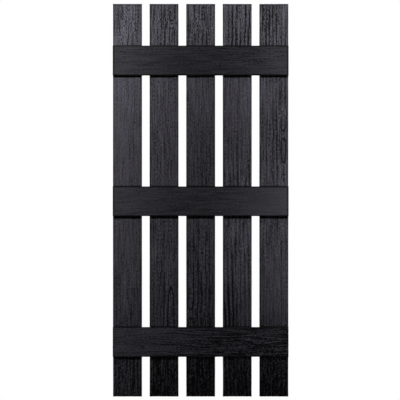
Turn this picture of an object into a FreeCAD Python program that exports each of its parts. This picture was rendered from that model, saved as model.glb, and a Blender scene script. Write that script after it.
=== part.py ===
import FreeCAD, Part
import os

# Spaced board and batten shutter for the outside of a window.
# Upright boards stand side by side with open gaps between them, and battens across their fronts carry them.
# Two screws hold each crossing. They are driven from the back, through a drilled and countersunk hole in the
# board, and cut their own thread in the batten, so the front shows no fixings. The heads sink below the back,
# which lies flat on the wall.
# Millimetres, +Z up. The front faces -Y. The origin is on the wall plane, at the middle of the centre board.

# Driving dimensions
shutter_height = 1193.8
board_count = 5
board_width = 88.0
board_gap = 23.3
board_thickness = 19.0
batten_width = 90.0
batten_thickness = 19.0
top_margin = 128.0
bottom_margin = 122.0
front_edge_radius = 3.0
back_edge_radius = 1.0

# Screw holes
screw_edge_distance = 24.0
screw_head_diameter = 8.4
screw_head_sink = 0.6
clearance_diameter = 4.6
cut_overshoot = 1.0

# Places worked out from the sizes
board_pitch = board_width + board_gap
shutter_width = board_count * board_pitch - board_gap
first_board_x = -(board_count - 1) * board_pitch / 2
board_front_y = -board_thickness
top_batten_z = shutter_height / 2 - top_margin - batten_width / 2
bottom_batten_z = -shutter_height / 2 + bottom_margin + batten_width / 2

board_centres = {
    f"board_{number + 1}": first_board_x + number * board_pitch
    for number in range(board_count)
}
batten_centres = {
    "top_batten": top_batten_z,
    "middle_batten": (top_batten_z + bottom_batten_z) / 2,
    "bottom_batten": bottom_batten_z,
}


def edges_at_depth(solid, y):
    """The edges of a solid that lie in the upright plane at depth y."""
    box_slack = 0.001
    return [
        edge
        for edge in solid.Edges
        if all(abs(vertex.Y - y) < box_slack for vertex in edge.Vertexes)
    ]


def eased_plank(width, height, thickness, centre_x, centre_z, back_y):
    """A sawn plank with rounded arrises: well eased on the front, lightly on the back."""
    front_y = back_y - thickness
    corner = FreeCAD.Vector(centre_x - width / 2, front_y, centre_z - height / 2)
    plank = Part.makeBox(width, thickness, height, corner)
    plank = plank.makeFillet(front_edge_radius, edges_at_depth(plank, front_y))
    return plank.makeFillet(back_edge_radius, edges_at_depth(plank, back_y))


def screw_hole(x, z):
    """One drilled hole through a board, with a countersink that takes the screw head below the back."""
    head = screw_head_diameter / 2
    clearance = clearance_diameter / 2
    cone_top_y = -screw_head_sink
    cone_foot_y = cone_top_y - (head - clearance)
    drill_end_y = board_front_y - cut_overshoot
    outline = [
        (0, cut_overshoot),
        (head, cut_overshoot),
        (head, cone_top_y),
        (clearance, cone_foot_y),
        (clearance, drill_end_y),
        (0, drill_end_y),
        (0, cut_overshoot),
    ]
    profile = Part.makePolygon([FreeCAD.Vector(x + radius, y, z) for radius, y in outline])
    return Part.Face(profile).revolve(FreeCAD.Vector(x, 0, z), FreeCAD.Vector(0, 1, 0), 360)


def crossing_holes(board_x, batten_z):
    """Two holes on a diagonal of the crossing, so that the pair keeps the board square to the batten."""
    across = board_width / 2 - screw_edge_distance
    along = batten_width / 2 - screw_edge_distance
    lean = 1 if board_x < 0 else -1
    return [
        screw_hole(board_x - across, batten_z + lean * along),
        screw_hole(board_x + across, batten_z - lean * along),
    ]


def make_board(board_x):
    """An upright board, drilled where each batten crosses it."""
    board = eased_plank(board_width, shutter_height, board_thickness, board_x, 0, 0)
    holes = [hole for batten_z in batten_centres.values() for hole in crossing_holes(board_x, batten_z)]
    return board.cut(Part.makeCompound(holes))


def make_batten(batten_z):
    """A level batten across the fronts of all the boards."""
    return eased_plank(shutter_width, batten_width, batten_thickness, 0, batten_z, board_front_y)


os.makedirs("parts", exist_ok=True)
for name, board_x in board_centres.items():
    make_board(board_x).exportStep(f"parts/{name}.step")
for name, batten_z in batten_centres.items():
    make_batten(batten_z).exportStep(f"parts/{name}.step")
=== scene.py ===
"""Looks of a spaced board and batten shutter.

The boards and battens get their grain as relief under satin black paint, steel screws join them
from behind, and a white studio stands round them.
"""

import logging
import math
from dataclasses import dataclass
from enum import Enum, IntEnum

import bmesh
import bpy
import numpy as np
from mathutils import Matrix, Vector


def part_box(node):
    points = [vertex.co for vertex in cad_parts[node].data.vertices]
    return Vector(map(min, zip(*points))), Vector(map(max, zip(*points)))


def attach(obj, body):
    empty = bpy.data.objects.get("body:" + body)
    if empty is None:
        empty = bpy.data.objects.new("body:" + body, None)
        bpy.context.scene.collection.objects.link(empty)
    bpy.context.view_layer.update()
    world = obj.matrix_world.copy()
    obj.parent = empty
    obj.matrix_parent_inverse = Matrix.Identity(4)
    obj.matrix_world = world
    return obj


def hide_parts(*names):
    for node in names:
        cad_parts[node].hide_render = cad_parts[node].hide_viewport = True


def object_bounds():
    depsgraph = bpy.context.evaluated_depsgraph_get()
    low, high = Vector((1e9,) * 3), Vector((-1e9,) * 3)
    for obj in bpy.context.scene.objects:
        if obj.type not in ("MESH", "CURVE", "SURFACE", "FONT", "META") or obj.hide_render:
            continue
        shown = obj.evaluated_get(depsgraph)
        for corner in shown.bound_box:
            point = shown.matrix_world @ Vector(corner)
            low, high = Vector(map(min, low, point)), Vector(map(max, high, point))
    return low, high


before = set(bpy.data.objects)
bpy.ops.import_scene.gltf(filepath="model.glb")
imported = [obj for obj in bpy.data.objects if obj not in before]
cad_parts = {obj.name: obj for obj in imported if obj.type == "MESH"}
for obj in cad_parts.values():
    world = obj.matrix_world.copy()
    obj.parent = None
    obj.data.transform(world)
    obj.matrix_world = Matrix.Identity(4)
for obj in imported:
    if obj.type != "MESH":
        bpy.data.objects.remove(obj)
cad_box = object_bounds()

LOG = logging.getLogger("shutter")
MM = 0.001
NEAR = 0.01 * MM
ALIGNED = 0.999
DEPTH_AXIS = 1
HEIGHT_AXIS = 2
# The darkness of the paint: grooves, the plank's tone, and painted shade and painted sheen.
GROOVE_TONE_AND_PAINTED_SHADE = "groove"
VIGOUR = "vigour"


class GrainRun(Enum):
    """Which way the fibres of a plank run, as the number of the axis that they follow."""

    LEVEL = 0
    UPRIGHT = 2

    @property
    def across(self) -> int:
        """The axis that lies on the face and crosses the fibres."""
        return 2 - self.value


class Sheet(IntEnum):
    """Which sheet of noise each kind of unevenness takes, counted from the seed of the plank."""

    DRIFT = 0
    BEND = 1
    RIPPLE = 2
    RING = 3
    FIBRE = 4
    HAIR = 5


class Sum(Enum):
    """The sums that the nodes of a material work out."""

    TIMES = "MULTIPLY"
    TIMES_PLUS = "MULTIPLY_ADD"
    LARGER = "MAXIMUM"


def grey(tone: float) -> tuple[float, float, float, float]:
    """A solid grey of this tone, from 0 for black to 1 for white."""
    return (tone, tone, tone, 1.0)


def noise(seed: int, x: np.ndarray, y: np.ndarray) -> np.ndarray:
    """Smooth noise from a seeded sheet of random values that repeats every 64 steps.

    Args:
        seed: Picks the sheet.
        x: First coordinate of each point, in steps.
        y: Second coordinate of each point, in steps.

    Returns:
        One value from -1 to 1 for each point.
    """
    side = 64
    sheet = np.random.default_rng(seed).uniform(-1.0, 1.0, (side, side))
    column = np.floor(x).astype(int)
    row = np.floor(y).astype(int)
    blend_x = x - column
    blend_y = y - row
    blend_x = blend_x * blend_x * (3.0 - 2.0 * blend_x)
    blend_y = blend_y * blend_y * (3.0 - 2.0 * blend_y)
    left = column % side
    right = (column + 1) % side
    low = row % side
    high = (row + 1) % side
    near = sheet[left, low] * (1.0 - blend_x) + sheet[right, low] * blend_x
    far = sheet[left, high] * (1.0 - blend_x) + sheet[right, high] * blend_x
    return near * (1.0 - blend_y) + far * blend_y


@dataclass(frozen=True)
class Waver:
    """Noise over the face of a plank, in waves of this width and length in millimetres."""

    width: float
    length: float
    share: float = 1.0

    def at(self, seed: int, across: np.ndarray, along: np.ndarray) -> np.ndarray:
        """The noise at each point of the face."""
        return self.share * noise(seed, across / self.width, along / self.length)


@dataclass(frozen=True)
class Arch:
    """A place where the heart of the timber lies deeper, so that the rings meet there tip to tip.

    All in millimetres: how far along the plank it is, its half length, and how much deeper the heart
    lies in its middle.
    """

    along: float
    reach: float
    rise: float

    def depth(self, along: np.ndarray) -> np.ndarray:
        """How much deeper the heart lies at each distance along the plank."""
        return self.rise * np.exp(-(((along - self.along) / self.reach) ** 2))

    def fall(self, along: np.ndarray) -> np.ndarray:
        """How steeply the heart dives at each distance along the plank."""
        return -2.0 * (along - self.along) / self.reach**2 * self.depth(along)


@dataclass(frozen=True)
class Swell:
    """A patch where the grain stands bolder or fainter than on the rest of the plank.

    Its place, width and length are in millimetres. All of the gain goes to the ring lines, and the
    given share of it to the fine flecks as well. The last value is painted light and shade: how much
    darker, or below zero lighter, the paint is painted there, such as darker lower ends and lighter
    sheen patches.
    """

    across: float
    along: float
    width: float
    length: float
    gain: float
    flecks: float = 1.0
    tone_and_painted_shade: float = 0.0

    def reach(self, across: np.ndarray, along: np.ndarray) -> np.ndarray:
        """Measures how far each point of the face lies in the patch.

        Args:
            across: Distance of each point across the face.
            along: Distance of each point along the fibres.

        Returns:
            1 at the middle of the patch, and 0 far away from it.
        """
        sideways = (across - self.across) / self.width
        lengthways = (along - self.along) / self.length
        return np.exp(-(sideways**2) - lengthways**2)


@dataclass(frozen=True)
class Relief:
    """The grain at each point of a plank.

    How deep the surface lies in millimetres, how far down a groove it is, from 0 to 1, how dark the
    paint is, as the plank's tone with painted shade and painted sheen, and how boldly the fine
    flecks stand.
    """

    lowered: np.ndarray
    groove: np.ndarray
    tone_and_painted_shade: np.ndarray
    vigour: np.ndarray


@dataclass(frozen=True)
class Timber:
    """The wood of one plank: where its heart ran and how boldly its growth rings stand out.

    Lengths are in millimetres. Distances across start at the left edge of a board or the top edge of
    a batten, and distances along at the top of a board or the left end of a batten. The heart
    wanders, the rings bend and ripple, and fibres and hairs are brushed into the wood between their
    lines.
    """

    seed: int
    heart: float
    heart_depth: float
    ring: float
    boldness: float
    # The plank's own paint tone; the swells add painted shade and painted sheen to it.
    tone_and_painted_shade: float = 0.58
    lines: float = 2.4
    line_width: float = 0.95
    line_depth: float = 0.8
    line_fade: float = 110.0
    sharpness: float = 1.5
    flattest: float = 0.22
    early_spacing: float = 0.5
    early_share: float = 0.4
    early_limit: float = 0.6
    warp: float = 2.5
    bend: Waver = Waver(26.0, 140.0)
    ripple: Waver = Waver(9.0, 70.0, 0.25)
    wander: float = 8.0
    wander_length: float = 330.0
    wrap: float = 0.7
    fibres: Waver = Waver(3.0, 60.0)
    hairs: Waver = Waver(1.8, 26.0, 0.6)
    fibre_depth: float = 0.14
    fibre_lift: float = 1.2
    faintest: float = 0.05
    boldest_fleck: float = 2.0
    depth: float = 1.6
    deepest: float = 1.8
    arches: tuple[Arch, ...] = ()
    swells: tuple[Swell, ...] = ()

    def relief(self, across: np.ndarray, along: np.ndarray, inward: np.ndarray) -> Relief:
        """Cuts the growth rings with the surface of the plank.

        Args:
            across: Distance of each point across the face.
            along: Distance of each point along the fibres.
            inward: Distance of each point behind the front face.

        Returns:
            The grain at each point.
        """
        wrapped = across + self.wrap * inward
        late = self.ring_lines(across, along, inward, share=1.0)
        early = self.ring_lines(across, along, inward, share=self.early_spacing)
        fibre = self.fibres.at(self.seed + Sheet.FIBRE, wrapped, along)
        fibre = fibre + self.hairs.at(self.seed + Sheet.HAIR, wrapped, along)
        strength = np.full_like(across, self.boldness)
        flecks = np.full_like(across, self.boldness)
        tone_and_painted_shade = np.full_like(across, self.tone_and_painted_shade)
        for swell in self.swells:
            reach = swell.reach(across, along)
            strength += swell.gain * reach
            flecks += swell.flecks * swell.gain * reach
            # Painted light and shade: each swell darkens or lightens the paint in its patch.
            tone_and_painted_shade += swell.tone_and_painted_shade * reach
        strength = np.maximum(strength, self.faintest)
        flecks = np.clip(flecks, self.faintest, self.boldest_fleck)
        early_strength = np.minimum(strength, self.early_limit)
        cut = late * strength**self.sharpness
        cut = cut + self.early_share * early * early_strength**self.sharpness
        groove = np.clip(self.lines * cut, 0.0, 1.0)
        brushed = self.fibre_depth * flecks * (self.fibre_lift + fibre)
        lowered = self.depth * (self.line_depth * cut + brushed)
        return Relief(np.clip(lowered, 0.0, self.deepest), groove, tone_and_painted_shade, flecks)

    def ring_lines(
        self, across: np.ndarray, along: np.ndarray, inward: np.ndarray, share: float
    ) -> np.ndarray:
        """Draws the lines where the growth rings meet the surface, some faint and some bold.

        Args:
            across: Distance of each point across the face.
            along: Distance of each point along the fibres.
            inward: Distance of each point behind the front face.
            share: Spacing of the lines, as a share of the ring.

        Returns:
            How strong the line is at each point, from 0 to 1.
        """
        wrapped = across + self.wrap * inward
        still = np.zeros_like(along)
        drift = noise(self.seed + Sheet.DRIFT, along / self.wander_length, still)
        drift = self.wander * drift
        offset = across - self.heart - drift
        depth = self.heart_depth + inward
        fall = still
        for arch in self.arches:
            depth = depth + arch.depth(along)
            fall = fall + arch.fall(along)
        radius = np.hypot(offset, depth)
        bend = self.bend.at(self.seed + Sheet.BEND, wrapped, along)
        bend = bend + self.ripple.at(self.seed + Sheet.RIPPLE, wrapped, along)
        spacing = share * self.ring
        rings = (radius + self.warp * bend) / spacing
        count = np.floor(rings)
        steepness = np.maximum(np.hypot(offset, depth * fall) / radius, self.flattest)
        distance = (rings - count - 0.5) * spacing / steepness
        strength = 0.5 + 0.5 * noise(self.seed + Sheet.RING, count, along / self.line_fade)
        width = self.line_width * math.sqrt(share)
        return strength * np.exp(-((distance / width) ** 2))


@dataclass(frozen=True)
class BlackPaint:
    """Satin black exterior paint sunk into brushed grain: glossier on ridges, duller in grooves and
    painted shade.
    """

    name: str
    run: GrainRun
    ridge: tuple[float, float, float] = (0.0800, 0.0755, 0.0960)
    groove: tuple[float, float, float] = (0.0014, 0.0013, 0.0018)
    ridge_roughness: float = 0.50
    groove_roughness: float = 0.95
    specular: float = 0.22
    fleck_size: float = 1.9 * MM
    fleck_stretch: float = 3.6
    fleck_gain: float = 5.4
    streak_size: float = 2.0 * MM
    streak_stretch: float = 24.0
    streak_gain: float = 3.8
    fleck_height: float = 0.28 * MM
    detail: float = 2.0

    def grain(
        self, tree: bpy.types.NodeTree, size: float, stretch: float
    ) -> bpy.types.NodeSocket:
        """Adds noise that is drawn out along the fibres.

        Args:
            tree: The paint's node tree.
            size: Width of a patch of the noise.
            stretch: How many times longer than wide a patch is.

        Returns:
            The noise, round about 0.5.
        """
        place = tree.nodes.new("ShaderNodeTexCoord")
        mapping = tree.nodes.new("ShaderNodeMapping")
        scale = [1.0 / size] * 3
        scale[self.run.value] /= stretch
        mapping.inputs["Scale"].default_value = scale
        texture = tree.nodes.new("ShaderNodeTexNoise")
        texture.inputs["Scale"].default_value = 1.0
        texture.inputs["Detail"].default_value = self.detail
        tree.links.new(place.outputs["Object"], mapping.inputs["Vector"])
        tree.links.new(mapping.outputs["Vector"], texture.inputs["Vector"])
        return texture.outputs["Fac"]

    def join(
        self,
        tree: bpy.types.NodeTree,
        operation: Sum,
        first: bpy.types.NodeSocket,
        second: bpy.types.NodeSocket | float,
        third: bpy.types.NodeSocket | float = 0.0,
    ) -> bpy.types.NodeSocket:
        """Adds one sum or product of sockets and numbers.

        Args:
            tree: The paint's node tree.
            operation: Which sum it is.
            first: First value.
            second: Second value.
            third: Third value, where the sum has one.

        Returns:
            The result.
        """
        sum_node = tree.nodes.new("ShaderNodeMath")
        sum_node.operation = operation.value
        for socket, value in zip(sum_node.inputs, (first, second, third)):
            if isinstance(value, float):
                socket.default_value = value
            else:
                tree.links.new(value, socket)
        return sum_node.outputs["Value"]

    def material(self) -> bpy.types.Material:
        """Builds the paint's nodes.

        Returns:
            The finished material.
        """
        paint = bpy.data.materials.new(self.name)
        paint.use_nodes = True
        tree = paint.node_tree
        nodes = tree.nodes
        link = tree.links.new
        shader = nodes["Principled BSDF"]
        shader.inputs["Specular IOR Level"].default_value = self.specular

        # This attribute carries the grooves and the tone, and with them painted shade and painted
        # sheen.
        groove = nodes.new("ShaderNodeAttribute")
        groove.attribute_name = GROOVE_TONE_AND_PAINTED_SHADE
        vigour = nodes.new("ShaderNodeAttribute")
        vigour.attribute_name = VIGOUR
        fleck = self.grain(tree, self.fleck_size, self.fleck_stretch)
        streak = self.grain(tree, self.streak_size, self.streak_stretch)
        middle = -0.5 * (self.fleck_gain + self.streak_gain)
        fine = self.join(tree, Sum.TIMES_PLUS, fleck, self.fleck_gain, middle)
        fine = self.join(tree, Sum.TIMES_PLUS, streak, self.streak_gain, fine)
        dark = self.join(tree, Sum.TIMES_PLUS, fine, vigour.outputs["Fac"], groove.outputs["Fac"])

        colour = nodes.new("ShaderNodeMix")
        colour.data_type = "RGBA"
        colour.inputs["A"].default_value = (*self.ridge, 1.0)
        colour.inputs["B"].default_value = (*self.groove, 1.0)
        link(dark, colour.inputs["Factor"])
        link(colour.outputs["Result"], shader.inputs["Base Color"])

        rough = nodes.new("ShaderNodeMapRange")
        rough.inputs["To Min"].default_value = self.ridge_roughness
        rough.inputs["To Max"].default_value = self.groove_roughness
        link(dark, rough.inputs["Value"])
        link(rough.outputs["Result"], shader.inputs["Roughness"])

        bump = nodes.new("ShaderNodeBump")
        bump.inputs["Distance"].default_value = self.fleck_height
        height = self.join(tree, Sum.TIMES, fine, vigour.outputs["Fac"])
        link(height, bump.inputs["Height"])
        link(bump.outputs["Normal"], shader.inputs["Normal"])
        return paint


@dataclass(frozen=True)
class BrushedSteel:
    """Plain stainless steel of the screws, faintly brushed."""

    name: str = "brushed_steel"
    colour: tuple[float, float, float] = (0.56, 0.56, 0.57)
    roughness: tuple[float, float] = (0.26, 0.42)
    brush_scale: float = 1800.0

    def material(self) -> bpy.types.Material:
        """Builds the steel's nodes.

        Returns:
            The finished material.
        """
        steel = bpy.data.materials.new(self.name)
        steel.use_nodes = True
        nodes = steel.node_tree.nodes
        link = steel.node_tree.links.new
        shader = nodes["Principled BSDF"]
        shader.inputs["Base Color"].default_value = (*self.colour, 1.0)
        shader.inputs["Metallic"].default_value = 1.0
        place = nodes.new("ShaderNodeTexCoord")
        brush = nodes.new("ShaderNodeTexNoise")
        brush.inputs["Scale"].default_value = self.brush_scale
        rough = nodes.new("ShaderNodeMapRange")
        rough.inputs["To Min"].default_value = self.roughness[0]
        rough.inputs["To Max"].default_value = self.roughness[1]
        link(place.outputs["Object"], brush.inputs["Vector"])
        link(brush.outputs["Fac"], rough.inputs["Value"])
        link(rough.outputs["Result"], shader.inputs["Roughness"])
        return steel


def add_piece(name: str, shape: bmesh.types.BMesh, finish: bpy.types.Material) -> bpy.types.Object:
    """Turns a finished bmesh into an object of the scene.

    Args:
        name: Name of the object and its mesh.
        shape: The bmesh, which is freed.
        finish: The material of all its faces.

    Returns:
        The new object, at the origin.
    """
    mesh = bpy.data.meshes.new(name)
    shape.to_mesh(mesh)
    shape.free()
    mesh.materials.append(finish)
    piece = bpy.data.objects.new(name, mesh)
    bpy.context.scene.collection.objects.link(piece)
    return piece


def create_block(shape: bmesh.types.BMesh, low: Vector, high: Vector) -> None:
    """Adds a plain block between two corners to a bmesh."""
    place = Matrix.Translation((low + high) / 2) @ Matrix.Diagonal((*(high - low), 1.0))
    bmesh.ops.create_cube(shape, size=1.0, matrix=place)


@dataclass(frozen=True)
class ScrewFit:
    """A countersunk screw and the hole that it sits in, and where a pair stands on a crossing."""

    edge_distance: float = 24.0 * MM
    head_radius: float = 4.2 * MM
    shank_radius: float = 2.3 * MM
    sink: float = 0.6 * MM
    clearance: float = 0.1 * MM
    overshoot: float = 1.0 * MM
    length: float = 32.0 * MM
    point_taper: float = 2.0
    rim: float = 0.2 * MM
    cone_drop: float = 0.3 * MM
    recess_radius: float = 1.75 * MM
    recess_depth: float = 1.5 * MM
    recess_taper: float = 0.82
    lobes: int = 6
    lobe_depth: float = 0.16
    centre: float = 0.1 * MM
    slack: float = 0.05 * MM
    sides: int = 24

    def crossing(self, board: str, batten: str) -> list[Vector]:
        """Where the pair of screws goes through the back of a board.

        Args:
            board: Node of the board.
            batten: Node of the batten in front of it.

        Returns:
            The two points on the back of the board.
        """
        low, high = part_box(board)
        under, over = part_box(batten)
        middle = (low.x + high.x) / 2
        height = (under.z + over.z) / 2
        across = (high.x - low.x) / 2 - self.edge_distance
        along = (over.z - under.z) / 2 - self.edge_distance
        lean = 1.0 if middle < -across else -1.0
        return [
            Vector((middle - across, high.y, height + lean * along)),
            Vector((middle + across, high.y, height - lean * along)),
        ]

    def turn(
        self, shape: bmesh.types.BMesh, outline: list[tuple[float, float]], place: Vector
    ) -> None:
        """Spins an outline about the screw's axis into a closed shape.

        Args:
            shape: The bmesh that takes the new faces.
            outline: Radius and depth of each point, from the axis at the back to the axis in front.
            place: The point on the back of the board.
        """
        ring = [shape.verts.new(place + Vector((radius, -depth, 0.0))) for radius, depth in outline]
        edges = [shape.edges.new(pair) for pair in zip(ring, ring[1:])]
        bmesh.ops.spin(
            shape,
            geom=ring + edges,
            cent=place,
            axis=Vector((0.0, 1.0, 0.0)),
            angle=math.tau,
            steps=self.sides,
            use_merge=True,
        )

    def seal(self, shape: bmesh.types.BMesh) -> None:
        """Merges the poles and seams of the spun shapes and turns their faces outwards."""
        bmesh.ops.remove_doubles(shape, verts=shape.verts, dist=NEAR)
        bmesh.ops.recalc_face_normals(shape, faces=shape.faces)

    def drill(self, places: list[Vector], thickness: float) -> bmesh.types.BMesh:
        """Makes the bit that cuts the holes.

        Args:
            places: Points on the back of the board.
            thickness: Thickness of the board.

        Returns:
            A bmesh with one closed cutter for each hole.
        """
        head = self.head_radius
        shank = self.shank_radius
        outline = [
            (0.0, -self.overshoot),
            (head, -self.overshoot),
            (head, self.sink),
            (shank, self.sink + head - shank),
            (shank, thickness + self.overshoot),
            (0.0, thickness + self.overshoot),
        ]
        shape = bmesh.new()
        for place in places:
            self.turn(shape, outline, place)
        self.seal(shape)
        return shape

    def screws(self, places: list[Vector]) -> bmesh.types.BMesh:
        """Makes a screw in each hole, with a lobed recess in its head.

        Args:
            places: Points on the back of the board.

        Returns:
            A bmesh with one closed screw for each hole.
        """
        head = self.head_radius - self.clearance
        shank = self.shank_radius - self.clearance
        recess = self.recess_radius
        floor = self.sink + self.recess_depth
        outline = [
            (0.0, floor),
            (self.recess_taper * recess, floor),
            (recess, self.sink),
            (head - self.rim, self.sink),
            (head, self.sink + self.rim),
            (shank, self.sink + self.cone_drop + head - shank),
            (shank, self.length - self.point_taper * shank),
            (0.0, self.length),
        ]
        shape = bmesh.new()
        for place in places:
            before = set(shape.verts)
            self.turn(shape, outline, place)
            for vert in set(shape.verts) - before:
                self.lobe(vert, place)
        self.seal(shape)
        return shape

    def lobe(self, vert: bmesh.types.BMVert, place: Vector) -> None:
        """Moves a point of the round recess in or out, so that the recess gets its lobes.

        Args:
            vert: Any point of the screw. Points off the rim of the recess stay.
            place: The point on the back of the board.
        """
        offset = vert.co - place
        radius = math.hypot(offset.x, offset.z)
        in_head = -offset.y < self.sink + self.recess_depth + self.slack
        if in_head and self.centre < radius < self.recess_radius + self.slack:
            turn = math.atan2(offset.z, offset.x)
            grow = 1.0 + self.lobe_depth * math.cos(self.lobes * turn)
            vert.co = place + Vector((offset.x * grow, offset.y, offset.z * grow))


@dataclass(frozen=True)
class Plank:
    """One sawn, brushed and painted plank, with its grain standing in relief."""

    node: str
    slot: str
    run: GrainRun
    timber: Timber
    holes: tuple[Vector, ...] = ()
    joints: tuple[float, ...] = ()
    front_ease: float = 2.2 * MM
    front_steps: int = 3
    back_ease: float = 1.0 * MM
    back_steps: int = 2
    cell_across: float = 0.9 * MM
    cell_along: float = 4.0 * MM
    cell_deep: float = 3.4 * MM
    edge_relief: float = 0.5 * MM
    edge_slope: float = 0.5
    sharp_angle: float = 60.0
    # Painted shade: a dark outline painted along the front's eased rim, where the rounding turns
    # from the light.
    painted_rim_shade: float = 0.60
    rim_margin: tuple[float, float] = (1.2 * MM, 3.2 * MM)
    end_shade: float = 0.60
    # Painted shadow: a dark line painted on the front just above each batten's top edge, where the
    # joint lies in shade.
    painted_joint_shadow: float = 0.70
    joint_margin: tuple[float, float] = (1.8 * MM, 2.6 * MM)
    hole_margin: tuple[float, float] = (4.4 * MM, 9.0 * MM)

    def ease(self, shape: bmesh.types.BMesh, depth: float, radius: float, steps: int) -> None:
        """Rounds the edges round one face of the block.

        Args:
            shape: The block.
            depth: Where the face lies, as its y.
            radius: Radius of the rounding.
            steps: Number of faces across the rounding.
        """
        edges = [
            edge
            for edge in shape.edges
            if all(abs(vert.co.y - depth) < NEAR for vert in edge.verts)
        ]
        bmesh.ops.bevel(
            shape,
            geom=edges,
            offset=radius,
            offset_type="OFFSET",
            segments=steps,
            profile=0.5,
            affect="EDGES",
            material=-1,
        )

    def divide(self, shape: bmesh.types.BMesh, axis: int, cell: float) -> None:
        """Cuts every long edge along one axis into the same number of cells.

        Args:
            shape: The block.
            axis: Number of the axis.
            cell: Length of a cell.
        """
        shortest = 2.0 * cell
        edges = []
        for edge in shape.edges:
            span = edge.verts[1].co - edge.verts[0].co
            if span.length > shortest and abs(span[axis]) > ALIGNED * span.length:
                edges.append(edge)
        longest = max(edge.calc_length() for edge in edges)
        cuts = round(longest / cell) - 1
        bmesh.ops.subdivide_edges(shape, edges=edges, cuts=cuts, use_grid_fill=True)

    def block(self) -> bmesh.types.BMesh:
        """Makes the plain eased block in its place, divided into cells.

        Returns:
            The block's bmesh.
        """
        low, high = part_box(self.node)
        shape = bmesh.new()
        create_block(shape, low, high)
        self.ease(shape, low.y, self.front_ease, self.front_steps)
        self.ease(shape, high.y, self.back_ease, self.back_steps)
        self.divide(shape, self.run.value, self.cell_along)
        self.divide(shape, self.run.across, self.cell_across)
        self.divide(shape, DEPTH_AXIS, self.cell_deep)
        # Extra cuts give the painted shadow line above each batten crisp edges.
        for height in self.joints:
            for margin in self.joint_margin:
                bmesh.ops.bisect_plane(
                    shape,
                    geom=shape.verts[:] + shape.edges[:] + shape.faces[:],
                    dist=NEAR,
                    plane_co=(0.0, 0.0, height + margin),
                    plane_no=(0.0, 0.0, 1.0),
                )
        for face in shape.faces:
            face.smooth = True
        return shape

    def drill(self, piece: bpy.types.Object) -> None:
        """Cuts the countersunk screw holes through the plank.

        Args:
            piece: The plank's object.
        """
        low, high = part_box(self.node)
        cutter = ScrewFit().drill(list(self.holes), high.y - low.y)
        bit = add_piece(self.node + "_bit", cutter, piece.data.materials[0])
        cut = piece.modifiers.new("screw_holes", "BOOLEAN")
        cut.operation = "DIFFERENCE"
        cut.solver = "EXACT"
        cut.object = bit
        bpy.context.view_layer.objects.active = piece
        bpy.ops.object.modifier_apply(modifier=cut.name)
        bpy.data.objects.remove(bit)

    def carve(self, mesh: bpy.types.Mesh) -> None:
        """Lowers the surface into the relief of the grain, and notes how dark and flecked it is.

        Args:
            mesh: The plank's mesh, which gets both as attributes.
        """
        low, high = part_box(self.node)
        count = len(mesh.vertices)
        points = np.empty(count * 3)
        normals = np.empty(count * 3)
        mesh.vertices.foreach_get("co", points)
        mesh.vertex_normals.foreach_get("vector", normals)
        points = points.reshape(-1, 3)
        normals = normals.reshape(-1, 3)
        x, y, z = points.T
        inward = (y - low.y) / MM
        if self.run is GrainRun.UPRIGHT:
            across = (x - low.x) / MM
            along = (high.z - z) / MM
        else:
            across = (high.z - z) / MM
            along = (x - low.x) / MM
        grain = self.timber.relief(across, along, inward)
        border = self.border(across, along)
        # The plank's tone with painted shade and sheen patches, painted shade on the rim and over
        # the joints, and dull end grain.
        dark = grain.tone_and_painted_shade + self.painted_shade_and_end_grain(points, normals, border)
        keep = np.ones(count)
        near, far = self.hole_margin
        for hole in self.holes:
            distance = np.hypot(x - hole.x, z - hole.z)
            keep = np.minimum(keep, np.clip((distance - near) / (far - near), 0.0, 1.0))
        lowered = np.minimum(grain.lowered * MM, self.edge_relief + self.edge_slope * border)
        points -= normals * (lowered * keep)[:, None]
        mesh.vertices.foreach_set("co", points.ravel())
        dark += grain.groove * keep
        for name, values in ((GROOVE_TONE_AND_PAINTED_SHADE, dark), (VIGOUR, grain.vigour * keep)):
            mesh.attributes.new(name, "FLOAT", "POINT").data.foreach_set("value", values)
        mesh.update()

    def border(self, across: np.ndarray, along: np.ndarray) -> np.ndarray:
        """Measures how far each point is from the nearest edge of the face.

        Args:
            across: Distance of each point across the face, in millimetres.
            along: Distance of each point along the fibres, in millimetres.

        Returns:
            The distance from the edge, in metres.
        """
        low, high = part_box(self.node)
        size = (high - low) / MM
        sides = np.minimum(across, size[self.run.across] - across)
        ends = np.minimum(along, size[self.run.value] - along)
        return np.minimum(sides, ends) * MM

    def painted_shade_and_end_grain(self, points: np.ndarray, normals: np.ndarray, border: np.ndarray) -> np.ndarray:
        """Finds the painted shade round the front's rim and in a line over each joint, and the
        duller paint on the end grain at the ends.

        Args:
            points: The points of the surface.
            normals: Their normals.
            border: How far they are from the nearest edge of the face.

        Returns:
            How much darker the paint is at each point.
        """
        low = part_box(self.node)[0]
        front = points[:, DEPTH_AXIS] < low.y + self.front_ease
        # Painted shade along the eased rim of the front.
        near, far = self.rim_margin
        dark = self.painted_rim_shade * front * np.clip((far - border) / (far - near), 0.0, 1.0)
        endways = np.abs(normals[:, self.run.value])
        dark += self.end_shade * np.clip(2.0 * endways - 1.0, 0.0, 1.0)
        # Painted shadow in a line just above each batten's top edge.
        near, far = self.joint_margin
        for height in self.joints:
            above = points[:, HEIGHT_AXIS] - height
            line = np.clip((far - above) / (far - near), 0.0, 1.0) * (above > -far)
            dark += self.painted_joint_shadow * front * line
        return dark

    def build(self, finish: bpy.types.Material) -> bpy.types.Object:
        """Makes the plank and puts it in the place of its node.

        Args:
            finish: The paint.

        Returns:
            The finished object.
        """
        piece = add_piece(self.node + "_grained", self.block(), finish)
        if self.holes:
            self.drill(piece)
        self.carve(piece.data)
        piece.data.set_sharp_from_angle(angle=math.radians(self.sharp_angle))
        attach(piece, "root")
        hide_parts(self.node)
        return piece


# The seventh value of a Swell is painted shade, or below zero painted sheen, such as the darker
# lower ends of the boards.
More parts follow.
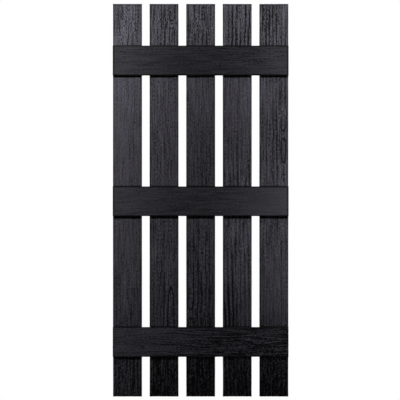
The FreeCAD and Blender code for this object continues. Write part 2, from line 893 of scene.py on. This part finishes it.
BOARD_TIMBER: dict[str, Timber] = {
    "board_1": Timber(
        seed=110,
        heart=31.0,
        heart_depth=16.0,
        ring=8.0,
        boldness=0.22,
        tone_and_painted_shade=0.62,
        arches=(Arch(124.0, 60.0, 10.0), Arch(620.0, 160.0, 9.0)),
        swells=(
            Swell(40.0, 40.0, 50.0, 110.0, 0.28),
            Swell(40.0, 930.0, 60.0, 160.0, 0.10),
            Swell(40.0, 1150.0, 60.0, 90.0, 0.90, 1.0, -0.08),
        ),
    ),
    "board_2": Timber(
        seed=220,
        heart=66.0,
        heart_depth=12.0,
        ring=9.8,
        boldness=0.30,
        wander=2.0,
        warp=0.7,
        arches=(Arch(61.0, 14.0, 5.0), Arch(822.0, 60.0, 4.0)),
        swells=(
            Swell(66.0, 60.0, 20.0, 90.0, 1.60, 0.1),
            Swell(30.0, 40.0, 50.0, 110.0, 0.15),
            Swell(44.0, 380.0, 60.0, 150.0, -0.12, -0.4),
            Swell(45.0, 860.0, 60.0, 160.0, 0.10),
            Swell(44.0, 740.0, 60.0, 120.0, 0.00, 0.0, 0.06),
            Swell(64.0, 930.0, 22.0, 80.0, 1.70, 0.0),
            Swell(40.0, 1150.0, 60.0, 80.0, 1.60, 1.0, 0.70),
        ),
    ),
    "board_3": Timber(
        seed=330,
        heart=14.0,
        heart_depth=14.0,
        ring=10.8,
        boldness=0.28,
        tone_and_painted_shade=0.60,
        wander=2.0,
        warp=0.8,
        arches=(Arch(943.0, 14.0, 5.0),),
        swells=(
            Swell(45.0, 50.0, 50.0, 110.0, 0.36),
            Swell(44.0, 310.0, 60.0, 110.0, -0.10, -0.6, -0.11),
            Swell(44.0, 500.0, 60.0, 70.0, 0.00, 0.0, 0.08),
            Swell(50.0, 860.0, 50.0, 200.0, 0.20),
            Swell(44.0, 720.0, 60.0, 90.0, 0.00, 0.0, 0.07),
            Swell(18.0, 900.0, 18.0, 110.0, 2.40, 0.1),
            Swell(40.0, 1150.0, 60.0, 80.0, 1.70, 1.0, 0.52),
        ),
    ),
    "board_4": Timber(
        seed=440,
        heart=-14.0,
        heart_depth=18.0,
        ring=12.0,
        boldness=0.38,
        tone_and_painted_shade=0.45,
        line_width=1.5,
        warp=3.2,
        swells=(
            Swell(56.0, 60.0, 40.0, 120.0, 0.45, 0.5),
            Swell(44.0, 320.0, 60.0, 110.0, -0.22, 0.3),
            Swell(44.0, 440.0, 60.0, 120.0, 0.00, 0.0, 0.09),
            Swell(50.0, 800.0, 60.0, 230.0, 0.20),
            Swell(20.0, 950.0, 18.0, 80.0, 3.60, 0.0),
            Swell(58.0, 880.0, 34.0, 110.0, -0.12, 1.0, -0.16),
            Swell(40.0, 1150.0, 60.0, 90.0, 2.60, 0.9, 0.10),
        ),
    ),
    "board_5": Timber(
        seed=550,
        heart=73.0,
        heart_depth=13.0,
        ring=9.7,
        boldness=0.40,
        wander=2.0,
        warp=0.6,
        arches=(Arch(397.0, 12.0, 3.2), Arch(500.0, 16.0, 4.0), Arch(550.0, 36.0, 4.0)),
        swells=(
            Swell(25.0, 50.0, 30.0, 120.0, 1.30, 0.3),
            Swell(72.0, 390.0, 18.0, 130.0, 4.20, 0.0),
            Swell(18.0, 270.0, 26.0, 70.0, -0.16, 1.0, -0.08),
            Swell(30.0, 420.0, 40.0, 90.0, 0.00, 0.0, 0.07),
            Swell(36.0, 720.0, 60.0, 80.0, 0.00, 0.0, 0.07),
            Swell(36.0, 900.0, 44.0, 140.0, -0.14, 1.0, -0.08),
            Swell(40.0, 1150.0, 60.0, 80.0, 1.40, 1.0, 0.44),
        ),
    ),
}

# As on the boards, the seventh value of a Swell is painted shade, or below zero painted sheen.
BATTEN_TIMBER: dict[str, Timber] = {
    "top_batten": Timber(
        seed=660,
        heart=-40.0,
        heart_depth=30.0,
        ring=12.0,
        boldness=0.09,
        tone_and_painted_shade=0.86,
        lines=0.3,
        fibres=Waver(8.0, 150.0),
        swells=(
            Swell(30.0, 440.0, 40.0, 130.0, 0.07),
            Swell(45.0, 530.0, 90.0, 110.0, 0.00, 0.0, -0.05),
            Swell(45.0, 220.0, 60.0, 130.0, 0.00, 0.0, 0.05),
        ),
    ),
    "middle_batten": Timber(
        seed=770,
        heart=120.0,
        heart_depth=30.0,
        ring=12.0,
        boldness=0.12,
        tone_and_painted_shade=0.79,
        lines=0.3,
        fibres=Waver(8.0, 150.0),
        swells=(
            Swell(55.0, 510.0, 60.0, 100.0, -0.03, 1.0, -0.08),
            Swell(45.0, 40.0, 60.0, 80.0, 0.00, 0.0, -0.07),
            Swell(45.0, 230.0, 60.0, 120.0, 0.00, 0.0, 0.04),
        ),
    ),
    "bottom_batten": Timber(
        seed=880,
        heart=72.0,
        heart_depth=16.0,
        ring=6.0,
        boldness=0.22,
        tone_and_painted_shade=0.54,
        fibres=Waver(5.0, 90.0),
        warp=7.0,
        arches=(Arch(440.0, 50.0, 12.0), Arch(350.0, 40.0, 9.0)),
        swells=(
            Swell(62.0, 430.0, 60.0, 210.0, 1.10, 0.8),
            Swell(50.0, 540.0, 80.0, 90.0, 0.00, 0.0, 0.30),
            Swell(40.0, 230.0, 60.0, 130.0, 0.00, 0.0, -0.10),
        ),
    ),
}


@dataclass(frozen=True)
class BoardRow:
    """The five upright boards, each screwed from behind where a batten crosses it."""

    slot: str = "black_boards"

    def build(self) -> None:
        """Makes the boards and reports each."""
        paint = BlackPaint("black_paint_upright", GrainRun.UPRIGHT).material()
        fit = ScrewFit()
        joints = tuple(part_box(batten)[1].z for batten in BATTEN_TIMBER)
        for node, timber in BOARD_TIMBER.items():
            holes = tuple(place for batten in BATTEN_TIMBER for place in fit.crossing(node, batten))
            piece = Plank(node, self.slot, GrainRun.UPRIGHT, timber, holes, joints).build(paint)
            LOG.info("%s: %d faces", piece.name, len(piece.data.polygons))


@dataclass(frozen=True)
class BattenSet:
    """The three level battens across the fronts of the boards."""

    slot: str = "black_battens"
    streak_size: float = 2.8 * MM
    streak_stretch: float = 18.0

    def build(self) -> None:
        """Makes the battens and reports each."""
        paint = BlackPaint(
            "black_paint_level",
            GrainRun.LEVEL,
            streak_size=self.streak_size,
            streak_stretch=self.streak_stretch,
        ).material()
        for node, timber in BATTEN_TIMBER.items():
            piece = Plank(node, self.slot, GrainRun.LEVEL, timber).build(paint)
            LOG.info("%s: %d faces", piece.name, len(piece.data.polygons))


@dataclass(frozen=True)
class ScrewRows:
    """The screws on the back, one row behind each batten."""

    slot: str = "screws"
    sharp_angle: float = 35.0

    def build(self) -> None:
        """Makes the rows and reports each."""
        steel = BrushedSteel().material()
        fit = ScrewFit()
        for batten in BATTEN_TIMBER:
            places = [place for board in BOARD_TIMBER for place in fit.crossing(board, batten)]
            row = add_piece(batten + "_screws", fit.screws(places), steel)
            row.data.shade_smooth()
            row.data.set_sharp_from_angle(angle=math.radians(self.sharp_angle))
            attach(row, "root")
            LOG.info("%s: %d faces", row.name, len(row.data.polygons))


@dataclass(frozen=True)
class Softbox:
    """A square studio lamp, placed in metres, with its power in watts and its spread in degrees."""

    name: str
    place: tuple[float, float, float]
    aim: tuple[float, float, float]
    power: float
    size: float = 0.4
    spread: float = 11.0

    def build(self) -> None:
        """Sets the lamp up, facing its aim."""
        light = bpy.data.lights.new(self.name, "AREA")
        light.shape = "SQUARE"
        light.size = self.size
        light.energy = self.power
        light.spread = math.radians(self.spread)
        lamp = bpy.data.objects.new(self.name, light)
        lamp.location = self.place
        facing = Vector(self.aim) - Vector(self.place)
        lamp.rotation_euler = facing.to_track_quat("-Z", "Y").to_euler()
        lamp.visible_camera = False
        bpy.context.scene.collection.objects.link(lamp)


LEFT_STAND = (-2.2, -4.6, 2.1)
RIGHT_STAND = (2.2, -4.6, 2.1)
BACK_STAND = (1.8, 3.2, 1.8)
SOFTBOXES: tuple[Softbox, ...] = (
    Softbox("key_left", RIGHT_STAND, (-0.6, 0.0, 0.45), 4.4),
    Softbox("key_right", LEFT_STAND, (0.65, 0.0, 0.45), 2.9),
    Softbox("crown_middle", RIGHT_STAND, (-0.1, 0.0, 0.8), 1.8),
    Softbox("crown_right", RIGHT_STAND, (0.65, 0.0, 0.8), 2.9),
    Softbox("side_right", LEFT_STAND, (0.65, 0.0, -0.1), 3.4),
    Softbox("fill_left", LEFT_STAND, (-0.35, 0.0, -0.1), 0.65),
    Softbox("fill_right", RIGHT_STAND, (-0.35, 0.0, -0.1), 0.70),
    Softbox("back_right", BACK_STAND, (0.0, 0.0, -0.1), 60.0, size=1.2, spread=180.0),
)


@dataclass(frozen=True)
class Studio:
    """White surroundings, a pale floor, dark cloth round the front, the lamps and the camera.

    The lens and the sensor are in millimetres, and all other lengths in metres.
    """

    lens: float = 200.0
    sensor: float = 36.0
    sight: float = 100.0
    frame_width: float = 1215.5 * MM
    aim_x: float = -2.0 * MM
    aim_z: float = 0.8 * MM
    focus_y: float = -19.0 * MM
    floor_drop: float = 0.9
    floor_back: float = 1.2
    floor_radius: float = 2.6
    floor_sides: int = 96
    floor_colour: float = 0.8
    floor_roughness: float = 0.9
    floor_fade: float = 0.35
    floor_tone: float = 0.6
    booth_low: tuple[float, float, float] = (-9.0, -5.2, -7.0)
    booth_high: tuple[float, float, float] = (14.0, 3.0, 9.0)
    cloth_colour: float = 0.02
    ambient: float = 0.055

    def camera(self) -> None:
        """Places the camera straight in front."""
        data = bpy.data.cameras.new("front_camera")
        data.lens = self.lens
        data.sensor_width = self.sensor
        data.clip_end = self.sight
        camera = bpy.data.objects.new("front_camera", data)
        distance = self.frame_width * self.lens / self.sensor
        camera.location = (self.aim_x, self.focus_y - distance, self.aim_z)
        camera.rotation_euler = (math.pi / 2, 0.0, 0.0)
        bpy.context.scene.collection.objects.link(camera)
        bpy.context.scene.camera = camera

    def shows_white(self, tree: bpy.types.NodeTree) -> bpy.types.NodeSocket:
        """Adds nodes that tell rays which show the surroundings from rays which only carry light.

        Args:
            tree: The node tree of the world or of a stage material.

        Returns:
            A socket that is 1 for camera, glossy and transmission rays.
        """
        rays = tree.nodes.new("ShaderNodeLightPath")
        seen = rays.outputs["Is Camera Ray"]
        for name in ("Is Glossy Ray", "Is Transmission Ray"):
            join = tree.nodes.new("ShaderNodeMath")
            join.operation = Sum.LARGER.value
            tree.links.new(seen, join.inputs[0])
            tree.links.new(rays.outputs[name], join.inputs[1])
            seen = join.outputs["Value"]
        return seen

    def surroundings(self) -> None:
        """Makes the world white to the eye and dim as a lamp."""
        world = bpy.data.worlds.new("white_studio")
        world.use_nodes = True
        tree = world.node_tree
        tree.nodes.clear()
        output = tree.nodes.new("ShaderNodeOutputWorld")
        mix = tree.nodes.new("ShaderNodeMixShader")
        dim = tree.nodes.new("ShaderNodeBackground")
        dim.inputs["Strength"].default_value = self.ambient
        white = tree.nodes.new("ShaderNodeBackground")
        for light in (dim, white):
            light.inputs["Color"].default_value = grey(1.0)
        tree.links.new(self.shows_white(tree), mix.inputs["Fac"])
        tree.links.new(dim.outputs["Background"], mix.inputs[1])
        tree.links.new(white.outputs["Background"], mix.inputs[2])
        tree.links.new(mix.outputs["Shader"], output.inputs["Surface"])
        bpy.context.scene.world = world

    def floor(self) -> None:
        """Lays the pale floor below the shutter, which fades into the white surroundings."""
        shape = bmesh.new()
        height = cad_box[0].z - self.floor_drop
        centre = (0.0, self.floor_back, height)
        bmesh.ops.create_circle(
            shape,
            cap_ends=True,
            segments=self.floor_sides,
            radius=self.floor_radius,
            matrix=Matrix.Translation(centre),
        )
        pale = bpy.data.materials.new("pale_floor")
        pale.use_nodes = True
        tree = pale.node_tree
        shader = tree.nodes["Principled BSDF"]
        shader.inputs["Base Color"].default_value = grey(self.floor_colour)
        shader.inputs["Roughness"].default_value = self.floor_roughness
        shader.inputs["Emission Color"].default_value = grey(1.0)
        place = tree.nodes.new("ShaderNodeTexCoord")
        distance = tree.nodes.new("ShaderNodeVectorMath")
        distance.operation = "DISTANCE"
        distance.inputs[1].default_value = centre
        fade = tree.nodes.new("ShaderNodeMapRange")
        fade.inputs["From Min"].default_value = self.floor_fade * self.floor_radius
        fade.inputs["From Max"].default_value = self.floor_radius
        fade.inputs["To Min"].default_value = self.floor_tone
        shown = tree.nodes.new("ShaderNodeMath")
        shown.operation = Sum.TIMES.value
        tree.links.new(place.outputs["Object"], distance.inputs[0])
        tree.links.new(distance.outputs["Value"], fade.inputs["Value"])
        tree.links.new(fade.outputs["Result"], shown.inputs[0])
        tree.links.new(self.shows_white(tree), shown.inputs[1])
        tree.links.new(shown.outputs["Value"], shader.inputs["Emission Strength"])
        add_piece("floor", shape, pale)

    def dark_booth(self) -> None:
        """Hangs dark cloth in front, above and on the left, which keeps the front's gloss black."""
        shape = bmesh.new()
        create_block(shape, Vector(self.booth_low), Vector(self.booth_high))
        front = Vector((0.0, -1.0, 0.0))
        above = Vector((0.0, 0.0, 1.0))
        left = Vector((-1.0, 0.0, 0.0))
        bare = [
            face
            for face in shape.faces
            if all(face.normal.dot(side) < ALIGNED for side in (front, above, left))
        ]
        bmesh.ops.delete(shape, geom=bare, context="FACES")
        dark = bpy.data.materials.new("dark_cloth")
        dark.use_nodes = True
        shader = dark.node_tree.nodes["Principled BSDF"]
        shader.inputs["Base Color"].default_value = grey(self.cloth_colour)
        shader.inputs["Roughness"].default_value = 1.0
        booth = add_piece("dark_booth", shape, dark)
        booth.visible_camera = False

    def build(self) -> None:
        """Sets up everything round the shutter."""
        self.camera()
        self.surroundings()
        self.floor()
        self.dark_booth()
        for softbox in SOFTBOXES:
            softbox.build()
        bpy.context.scene.view_settings.view_transform = "Standard"


def main() -> None:
    """Builds the shutter and its studio."""
    logging.basicConfig(level=logging.INFO, format="%(message)s")
    BoardRow().build()
    BattenSet().build()
    ScrewRows().build()
    Studio().build()


if __name__ == "__main__":
    main()
